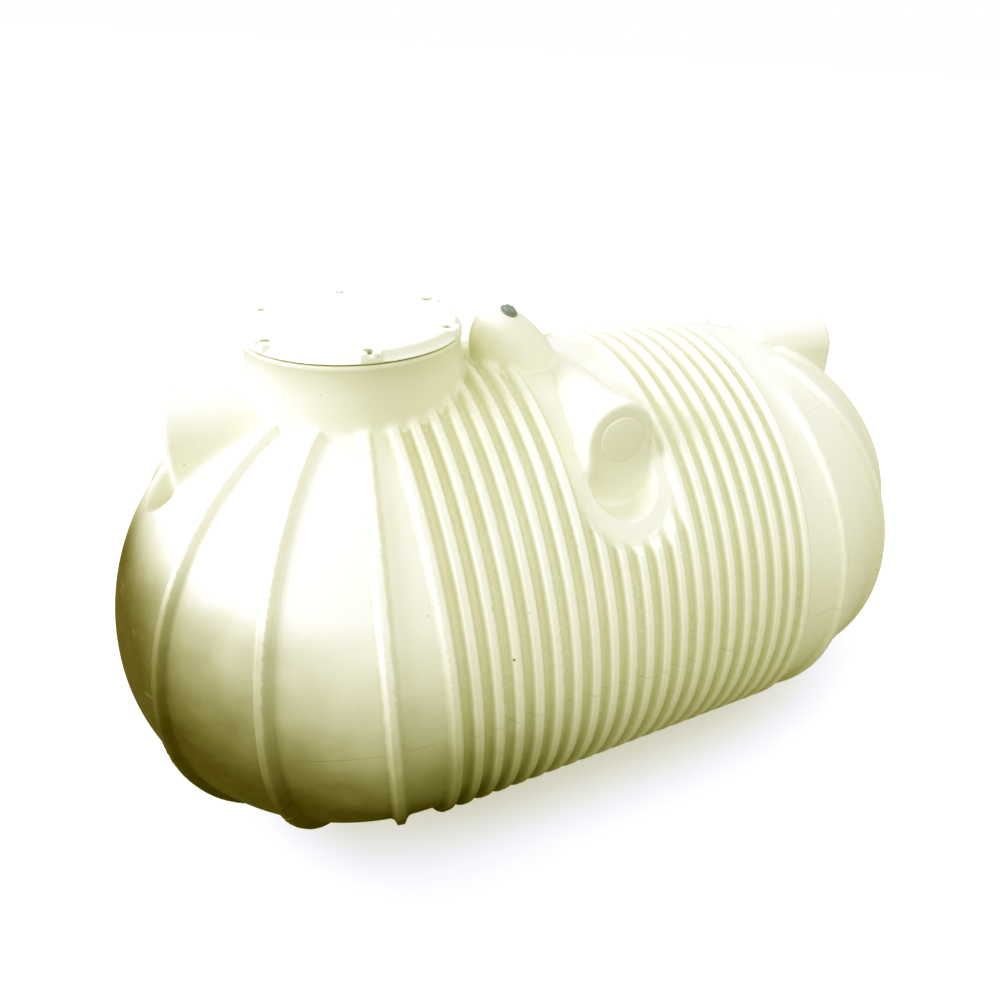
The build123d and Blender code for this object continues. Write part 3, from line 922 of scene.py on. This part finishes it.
class TANK_OT_lid(Operator):
    """Mould the lid with its sloping side, lugs and screw pits"""

    bl_idname = "tank.lid"
    bl_label = "Manhole lid"

    def execute(self, context):
        scene = context.scene
        manhole = scene.tank_manhole
        bm = bmesh.new()
        ring = bmesh.ops.create_circle(bm, radius=manhole.lid_radius - 0.002, segments=360)["verts"]
        edges = edges_round(ring)
        bmesh.ops.contextual_create(bm, geom=edges)
        step = 2 * math.pi / manhole.screw_count
        half = manhole.lug_width / 2 / manhole.lid_radius
        for height, sloped, upright in LID_RINGS:
            drawn = bmesh.ops.extrude_edge_only(bm, edges=edges)["geom"]
            for vert in picked(drawn, BMVert):
                heading = math.atan2(vert.co.y, vert.co.x)
                off = abs((heading - manhole.screw_first + step / 2) % step - step / 2)
                lug = 1 - smooth_step((off - half + 0.008) / 0.016)
                radius = manhole.lid_radius - (sloped + (upright - sloped) * lug)
                vert.co = (math.cos(heading) * radius, math.sin(heading) * radius, height)
            edges = picked(drawn, BMEdge)
        bmesh.ops.contextual_create(bm, geom=edges)
        lid = link_closed(bm, "lid_blank")
        cut_away(lid, link_closed(pit_solids(manhole), "pit_tool"), use_self=True)
        modified(lid, "REMESH", mode="VOXEL", voxel_size=LID_GRAIN * 1)
        bm = bmesh.new()
        bm.from_mesh(lid.data)
        bpy.data.objects.remove(lid)
        relaxed(bm, bm.verts, 0.5, 2)
        base = crown_height(scene) + manhole.neck_rise + manhole.gasket_thickness
        move(bm, x=-scene.tank_shell.barrel_half, z=base)
        piece = link_mesh(bm, "lid", MOULD_SHARP)
        seat_piece(piece, "lid", lid_material(scene), "manhole_lid")
        return {"FINISHED"}


class TANK_OT_seal_discs(Operator):
    """Raise a disc on each boss face, to be drilled for the pipe's seal"""

    bl_idname = "tank.seal_discs"
    bl_label = "Seal discs"

    def execute(self, context):
        scene = context.scene
        bosses = scene.tank_bosses
        discs = bmesh.new()
        centre = crown_height(scene) - bosses.axis_drop + bosses.disc_rise
        for _, reach, _, place in boss_frames(scene):
            disc = bmesh.new()
            cylinder(disc, bosses.disc_radius, -0.003, bosses.disc_height, 128)
            rim = [edge for edge in disc.edges if all(vert.co.z > 0 for vert in edge.verts)]
            rounded(disc, rim, 0.0016, 3)
            upright = Matrix.Translation((0, -reach, centre)) @ Matrix.Rotation(math.pi / 2, 4, "X")
            pour(disc, discs, place @ upright)
        seat_piece(link_closed(discs, "seal_discs"), "shell", moulded_material(scene))
        return {"FINISHED"}


def make_gasket(scene):
    """The ring of rubber between the neck's flange and the lid."""
    manhole, tint = scene.tank_manhole, scene.tank_finish
    seat = crown_height(scene) + manhole.neck_rise
    outer = manhole.neck_radius - 0.0015
    inner = manhole.neck_radius - manhole.flange_width + 0.0015
    thick = manhole.gasket_thickness
    points = [
        (inner, 0), (inner, thick), (outer - 0.001, thick), (outer, thick * 0.75),
        (outer, thick * 0.25), (outer - 0.001, 0),
    ]
    bm = bmesh.new()
    manhole_ring(bm, [(x, seat + z) for x, z in points])
    move(bm, x=-scene.tank_shell.barrel_half)
    rubber = fitting_material("gasket_rubber", tint.gasket_colour, (0.16, 0.15, 0.12), 0.6, 0.6, 25.0)
    seat_piece(link_closed(bm, "gasket"), "gasket", rubber, "lid_gasket")


def make_screws(scene):
    """The lid's hexagon screws, each with its washer, in their pits."""
    manhole = scene.tank_manhole
    circle = manhole.neck_radius - manhole.screw_inset
    floor = crown_height(scene) + manhole.neck_rise + manhole.gasket_thickness
    floor += manhole.lid_thickness - manhole.pit_depth
    centre = Matrix.Translation((-scene.tank_shell.barrel_half, 0, 0))
    screws = bmesh.new()
    for index in range(manhole.screw_count):
        screw = bmesh.new()
        washer = cylinder(screw, 0.0098, 0, 0.0014, 40)
        head = cylinder(screw, 0.0076, 0.0014, 0.0060, 6)
        cylinder(screw, 0.004, -0.0275, 0.001, 24)
        tops = edges_round(vert for vert in washer + head if vert.co.z > 0.001)
        rounded(screw, [edge for edge in tops if edge.calc_face_angle(0) > 0.8], 0.0005, 2)
        heading = manhole.screw_first + index * 2 * math.pi / manhole.screw_count
        turn = Matrix.Rotation(heading, 4, "Z") @ Matrix.Translation((circle, 0, floor))
        pour(screw, screws, centre @ turn @ Matrix.Rotation(index * 0.7, 4, "Z"))
    steel = fitting_material(
        "dulled_steel", scene.tank_finish.screw_colour, (0.20, 0.12, 0.06), 0.5, 0.38, 160.0, 0.85
    )
    nodes = [f"lid_screw_{index + 1}" for index in range(manhole.screw_count)]
    seat_piece(link_closed(screws, "lid_screws"), "screw", steel, *nodes)


def make_plug(scene):
    """The vent's plug: a round collar, a hexagon that narrows to its top, and a spigot."""
    turret = scene.tank_turret
    plug = bmesh.new()
    cylinder(plug, turret.plug_radius, 0, 0.0045, 64)
    cylinder(plug, turret.plug_radius * 0.86, 0.004, turret.plug_height, 6, turret.plug_radius * 0.80)
    cylinder(plug, 0.012, -0.014, 0.001, 40)
    rounded(plug, [edge for edge in plug.edges if edge.calc_face_angle(0) > 0.8], 0.0010, 2)
    plug.transform(plug_place(scene))
    plastic = fitting_material(
        "plug_plastic", scene.tank_finish.plug_colour, (0.30, 0.28, 0.16), 0.55, 0.42, 45.0
    )
    seat_piece(link_closed(plug, "plug"), "plug", plastic, "vent_plug")


class TANK_OT_fittings(Operator):
    """Make the gasket, the lid's screws and the vent plug"""

    bl_idname = "tank.fittings"
    bl_label = "Gasket, screws and plug"

    def execute(self, context):
        for make in (make_gasket, make_screws, make_plug):
            make(context.scene)
        return {"FINISHED"}


class Sheet:
    """Short hand for laying out one node tree."""

    def __init__(self, tree):
        self.tree = tree
        self.tree.nodes.clear()

    def feed(self, socket, value):
        """Link an input to another socket, or set its value."""
        if isinstance(value, NodeSocket):
            self.tree.links.new(value, socket)
        else:
            socket.default_value = value

    def node(self, kind, values=None, **settings):
        """Add a node, set its properties and feed its inputs."""
        item = self.tree.nodes.new(kind)
        for key, value in settings.items():
            setattr(item, key, value)
        for key, value in (values or {}).items():
            self.feed(item.inputs[key], value)
        return item

    def math(self, operation, *values):
        """One math node."""
        return self.node("ShaderNodeMath", dict(enumerate(values)), operation=operation).outputs[0]

    def times(self, first, second):
        """One number times another."""
        return self.math("MULTIPLY", first, second)

    def add(self, value, share, total):
        """A share of a number, added to a total."""
        return self.math("MULTIPLY_ADD", value, share, total)

    def ramp(self, value, low, high):
        """Smooth step from 0 at low to 1 at high."""
        values = {"Value": value, "From Min": low, "From Max": high}
        return self.node("ShaderNodeMapRange", values, interpolation_type="SMOOTHSTEP").outputs[0]

    def mix(self, factor, first, second):
        """Mix two colours."""
        item = self.node("ShaderNodeMix", data_type="RGBA")
        for index, value in ((0, factor), (6, first), (7, second)):
            self.feed(item.inputs[index], value)
        return item.outputs[2]

    def noise(self, vector, scale, detail=3.0, stretch=None):
        """Noise over the surface, between 0 and 1."""
        if stretch:
            values = {0: vector, 1: stretch}
            vector = self.node("ShaderNodeVectorMath", values, operation="MULTIPLY").outputs[0]
        values = {"Vector": vector, "Scale": scale, "Detail": detail}
        return self.node("ShaderNodeTexNoise", values).outputs[0]


GROUP_OUTPUTS = {
    "Color": "NodeSocketColor", "Roughness": "NodeSocketFloat", "Height": "NodeSocketFloat",
}


def shader_group(name, build, inputs):
    """Make a shader group once; its inputs are given by their defaults."""
    found = bpy.data.node_groups.get(name)
    if found:
        return found
    tree = bpy.data.node_groups.new(name, "ShaderNodeTree")
    for title, default in inputs.items():
        kind = "NodeSocketColor" if isinstance(default, tuple) else "NodeSocketFloat"
        socket = tree.interface.new_socket(name=title, in_out="INPUT", socket_type=kind)
        socket.default_value = default
    for title, kind in GROUP_OUTPUTS.items():
        tree.interface.new_socket(name=title, in_out="OUTPUT", socket_type=kind)
    sheet = Sheet(tree)
    given = sheet.node("NodeGroupInput").outputs
    place = sheet.node("ShaderNodeTexCoord").outputs["Object"]
    sheet.node("NodeGroupOutput", dict(zip(GROUP_OUTPUTS, build(sheet, given, place))))
    return tree


def lay_polyethylene(sheet, given, place):
    """Weathered rotomoulded polyethylene: dirt, yellowing, specks, scuffs, parting line, grain, painted
    shade.
    """
    axes = sheet.node("ShaderNodeSeparateXYZ", {0: place}).outputs
    broad = sheet.noise(place, 1.7, 4)
    patches = sheet.noise(place, 7.0, 5)
    mottle = sheet.noise(place, 45.0, 4)
    fine = sheet.noise(place, 520.0, 2)
    uneven = sheet.math("SUBTRACT", patches, 0.5)

    age = sheet.times(sheet.ramp(broad, 0.38, 0.68), given["Age"])
    # Painted shade down in the valleys between the ribs, from the mould's stored mask, broken up by
    # patches
    groove_shade = sheet.node("ShaderNodeAttribute", attribute_name="groove_shade").outputs["Fac"]
    groove_shade = sheet.times(groove_shade, sheet.add(patches, 0.5, 0.18))
    # Painted shade and soiling: a darker, yellower tone towards the bottom of the tank
    low = sheet.ramp(sheet.add(uneven, 0.22, axes["Z"]), 0.62, 0.02)
    low = sheet.times(low, sheet.times(given["Soiling and shade"], 0.24))

    # Painted shade and dirt: brown on the lower near end, which fades out along the tank, upwards and
    # to both sides
    run = sheet.add(axes["X"], 2.34, sheet.times(axes["Z"], 7.41))
    run = sheet.add(sheet.math("ABSOLUTE", axes["Y"]), 5.33, run)
    run = sheet.add(sheet.ramp(axes["Z"], 0.78, 0.98), 2.0, run)
    run = sheet.add(uneven, 1.3, run)
    corner = sheet.times(sheet.ramp(run, 8.1, 3.3), given["Soiling and shade"])
    corner = sheet.times(corner, sheet.add(sheet.ramp(axes["X"], 0.05, -0.50), 0.80, 0.20))

    # The parting line, broken here and there
    away = sheet.math("ABSOLUTE", sheet.math("SUBTRACT", axes["Z"], given["Parting Height"]))
    broken = sheet.ramp(sheet.noise(place, 16.0, 3), 0.42, 0.58)
    line = sheet.times(sheet.times(sheet.ramp(away, 0.0016, 0.0004), broken), given["Soiling and shade"])

    # Specks in a few of the cells only
    values = {"Vector": place, "Scale": 26.0, "Randomness": 1.0}
    cells = sheet.node("ShaderNodeTexVoronoi", values, feature="F1").outputs
    lone = sheet.node("ShaderNodeSeparateColor", {0: cells["Color"]}).outputs[0]
    dot = sheet.times(sheet.ramp(cells["Distance"], 0.075, 0.035), sheet.ramp(lone, 0.80, 0.84))
    dot = sheet.times(dot, given["Specks"])

    marks = []
    for spot, size, strength, tint in MARKS:
        away = sheet.node("ShaderNodeVectorMath", {0: place, 1: spot}, operation="DISTANCE")
        away = sheet.add(mottle, size * 0.8, away.outputs["Value"])
        marks.append((sheet.times(sheet.ramp(away, size * 1.2, size * 0.7), strength), tint))

    scuffs = sheet.ramp(sheet.noise(place, 9.0, 6, (1.0, 1.0, 4.0)), 0.66, 0.74)
    scuffs = sheet.times(scuffs, given["Specks"])
    scratch = sheet.ramp(sheet.noise(place, 30.0, 2, (7.0, 7.0, 0.5)), 0.76, 0.80)

    tone = given["Clean"]
    layers = [
        (age, "Yellowed and shaded"), (groove_shade, "Yellowed and shaded"), (low, "Yellowed and shaded"), (corner, "Dirt and shade"),
        (sheet.times(line, 0.28), "Dirt and shade"), (sheet.times(dot, 0.6), "Dirt and shade"), *marks,
        (sheet.times(scuffs, 0.28), "Yellowed and shaded"), (sheet.times(scratch, 0.22), "Dirt and shade"),
        (sheet.times(mottle, 0.10), "Yellowed and shaded"),
    ]
    for mask, tint in layers:
        tone = sheet.mix(mask, tone, given[tint])
    rough = sheet.add(mottle, 0.16, 0.36)
    rough = sheet.add(corner, 0.15, sheet.add(low, 0.22, rough))
    height = sheet.add(mottle, 0.00016, sheet.times(patches, 0.0030))
    height = sheet.add(fine, sheet.times(given["Grain"], 0.00004), height)
    height = sheet.add(scratch, -0.0001, sheet.add(line, -0.0003, height))
    return tone, rough, height


def lay_wear(sheet, given, place):
    """Dust and stains on the small fittings."""
    cloud = sheet.noise(place, given["Scale"], 5)
    stain = sheet.times(sheet.ramp(cloud, 0.40, 0.66), given["Amount"])
    tone = sheet.mix(stain, given["Base"], given["Stain"])
    return tone, sheet.add(stain, 0.25, given["Roughness"]), sheet.times(cloud, 0.0003)


def finish(name, group, values, metallic=0.0):
    """A finished material from one of the groups."""
    found = bpy.data.materials.get(name)
    if found:
        return found
    material = bpy.data.materials.new(name)
    material.use_nodes = True
    sheet = Sheet(material.node_tree)
    wear = sheet.node("ShaderNodeGroup", node_tree=group)
    for key, value in values.items():
        wear.inputs[key].default_value = value
    bump = {"Height": wear.outputs["Height"], "Strength": 1.0, "Distance": 1.0}
    shader = sheet.node("ShaderNodeBsdfPrincipled", {
        "Base Color": wear.outputs["Color"],
        "Roughness": wear.outputs["Roughness"],
        "Normal": sheet.node("ShaderNodeBump", bump).outputs[0],
        "Metallic": metallic,
        "Specular IOR Level": 0.5 if metallic else 0.32,
    })
    sheet.node("ShaderNodeOutputMaterial", {"Surface": shader.outputs[0]})
    return material


def polyethylene(scene, name, clean, values):
    """One finish of the cream polyethylene."""
    group = shader_group("weathered_and_shaded_polyethylene", lay_polyethylene, {
        "Clean": (0.8, 0.8, 0.7, 1), "Yellowed and shaded": (0.6, 0.6, 0.3, 1), "Dirt and shade": (0.2, 0.14, 0.03, 1),
        "Age": 0.5, "Soiling and shade": 1.0, "Parting Height": 0.552, "Specks": 0.5, "Grain": 1.0,
    })
    tint = scene.tank_finish
    colours = {"Clean": clean, "Yellowed and shaded": tint.yellowing_and_shade_colour, "Dirt and shade": tint.dirt_and_shade_colour}
    return finish(name, group, {key: (*value, 1) for key, value in colours.items()} | values)


def moulded_material(scene):
    """Cream rotomoulded polyethylene of the shell."""
    values = {"Age": 0.18, "Parting Height": scene.tank_shell.parting_height}
    return polyethylene(scene, "moulded_polyethylene", scene.tank_finish.shell_colour, values)


def lid_material(scene):
    """Cleaner polyethylene of the lid, which has no parting line."""
    values = {"Age": 0.15, "Soiling and shade": 0.4, "Specks": 0.7, "Parting Height": -1.0}
    return polyethylene(scene, "lid_polyethylene", scene.tank_finish.lid_colour, values)


def fitting_material(name, base, stain, amount, rough, scale, metallic=0.0):
    """Material of a gasket, screw or plug."""
    group = shader_group("fitting_wear", lay_wear, {
        "Base": (0.4, 0.4, 0.4, 1), "Stain": (0.3, 0.25, 0.15, 1), "Amount": 0.5, "Scale": 60.0,
        "Roughness": 0.5,
    })
    values = {
        "Base": (*base, 1), "Stain": (*stain, 1), "Amount": amount, "Roughness": rough, "Scale": scale,
    }
    return finish(name, group, values, metallic)


def lay_floor(scene):
    """A wide plain floor that looks paler to the camera than it is to the tank."""
    bm = bmesh.new()
    bmesh.ops.create_grid(bm, x_segments=1, y_segments=1, size=150)
    floor = link_mesh(bm, "floor")
    material = bpy.data.materials.new("studio_floor")
    material.use_nodes = True
    sheet = Sheet(material.node_tree)
    seen = sheet.node("ShaderNodeLightPath").outputs["Is Camera Ray"]
    shader = sheet.node("ShaderNodeBsdfPrincipled", {
        "Base Color": sheet.mix(seen, FLOOR_BOUNCE, (*scene.tank_finish.floor_colour, 1)),
        "Roughness": 0.9,
        "Emission Color": (1, 1, 1, 1),
        "Emission Strength": sheet.times(seen, FLOOR_GLOW),
    })
    sheet.node("ShaderNodeOutputMaterial", {"Surface": shader.outputs[0]})
    floor.data.materials.append(material)


def light_studio(scene):
    """White surroundings, the soft suns and the tone curve."""
    world = bpy.data.worlds.new("studio")
    scene.world = world
    world.use_nodes = True
    sheet = Sheet(world.node_tree)
    seen = sheet.node("ShaderNodeLightPath").outputs["Is Camera Ray"]
    tone = sheet.mix(seen, SURROUNDINGS, (1, 1, 1, 1))
    light = sheet.node("ShaderNodeBackground", {"Color": tone, "Strength": 1.0})
    sheet.node("ShaderNodeOutputWorld", {"Surface": light.outputs[0]})

    for name, (heading, height, energy, tint) in LIGHTS.items():
        light = bpy.data.lights.new(name, "SUN")
        light.energy = energy
        light.angle = LIGHT_ANGLE
        light.color = tint
        lamp = bpy.data.objects.new(name, light)
        scene.collection.objects.link(lamp)
        turn, lift = math.radians(heading), math.radians(height)
        level = math.cos(lift)
        towards = Vector((level * math.cos(turn), level * math.sin(turn), math.sin(lift)))
        lamp.rotation_euler = (-towards).to_track_quat("-Z", "Y").to_euler()

    view = scene.view_settings
    view.view_transform = "Standard"
    view.use_curve_mapping = True
    for spot, level in BLUE_CURVE:
        view.curve_mapping.curves[2].points.new(spot, level)
    view.curve_mapping.update()


def place_camera(scene):
    """The camera at the photograph's angle."""
    camera = bpy.data.cameras.new("camera")
    holder = bpy.data.objects.new("camera", camera)
    scene.collection.objects.link(holder)
    level = math.cos(CAMERA_PITCH)
    forward = Vector((
        level * math.cos(CAMERA_YAW), level * math.sin(CAMERA_YAW), -math.sin(CAMERA_PITCH)
    ))
    right = forward.cross(Vector((0, 0, 1))).normalized()
    up = right.cross(forward)
    cosine, sine = math.cos(CAMERA_ROLL), math.sin(CAMERA_ROLL)
    axes = Matrix((cosine * right + sine * up, -sine * right + cosine * up, -forward)).transposed()
    holder.matrix_world = Matrix.Translation(CAMERA_PLACE) @ axes.to_4x4()
    camera.sensor_width = 36
    camera.lens = CAMERA_LENS
    camera.shift_x, camera.shift_y = CAMERA_SHIFT
    camera.clip_start = 0.01
    scene.camera = holder


class TANK_OT_stage(Operator):
    """Set the floor, the studio lights and the camera"""

    bl_idname = "tank.stage"
    bl_label = "Stage"

    def execute(self, context):
        for make in (lay_floor, light_studio, place_camera):
            make(context.scene)
        return {"FINISHED"}


OPERATORS = (
    TANK_OT_stage, TANK_OT_shell, TANK_OT_neck, TANK_OT_lid, TANK_OT_seal_discs, TANK_OT_fittings,
)


class TANK_PT_panel(Panel):
    """Lists the operators that build the tank"""

    bl_idname = "TANK_PT_panel"
    bl_label = "Underground tank"
    bl_space_type = "VIEW_3D"
    bl_region_type = "UI"
    bl_category = "Tank"

    def draw(self, context):
        for operator in OPERATORS:
            self.layout.operator(operator.bl_idname)
        for name, group in SETTINGS.items():
            box = self.layout.box()
            box.label(text=group.__doc__)
            for key in group.__annotations__:
                box.prop(getattr(context.scene, name), key)


CLASSES = (*SETTINGS.values(), *OPERATORS, TANK_PT_panel)


def register():
    for cls in CLASSES:
        bpy.utils.register_class(cls)
    for name, group in SETTINGS.items():
        setattr(bpy.types.Scene, name, PointerProperty(type=group))


def unregister():
    for name in SETTINGS:
        delattr(bpy.types.Scene, name)
    for cls in reversed(CLASSES):
        bpy.utils.unregister_class(cls)


def main():
    """Build the tank on its stage."""
    register()
    bpy.ops.tank.stage()
    bpy.ops.tank.shell()
    bpy.ops.tank.neck()
    bpy.ops.tank.lid()
    bpy.ops.tank.seal_discs()
    bpy.ops.tank.fittings()


if __name__ == "__main__":
    main()
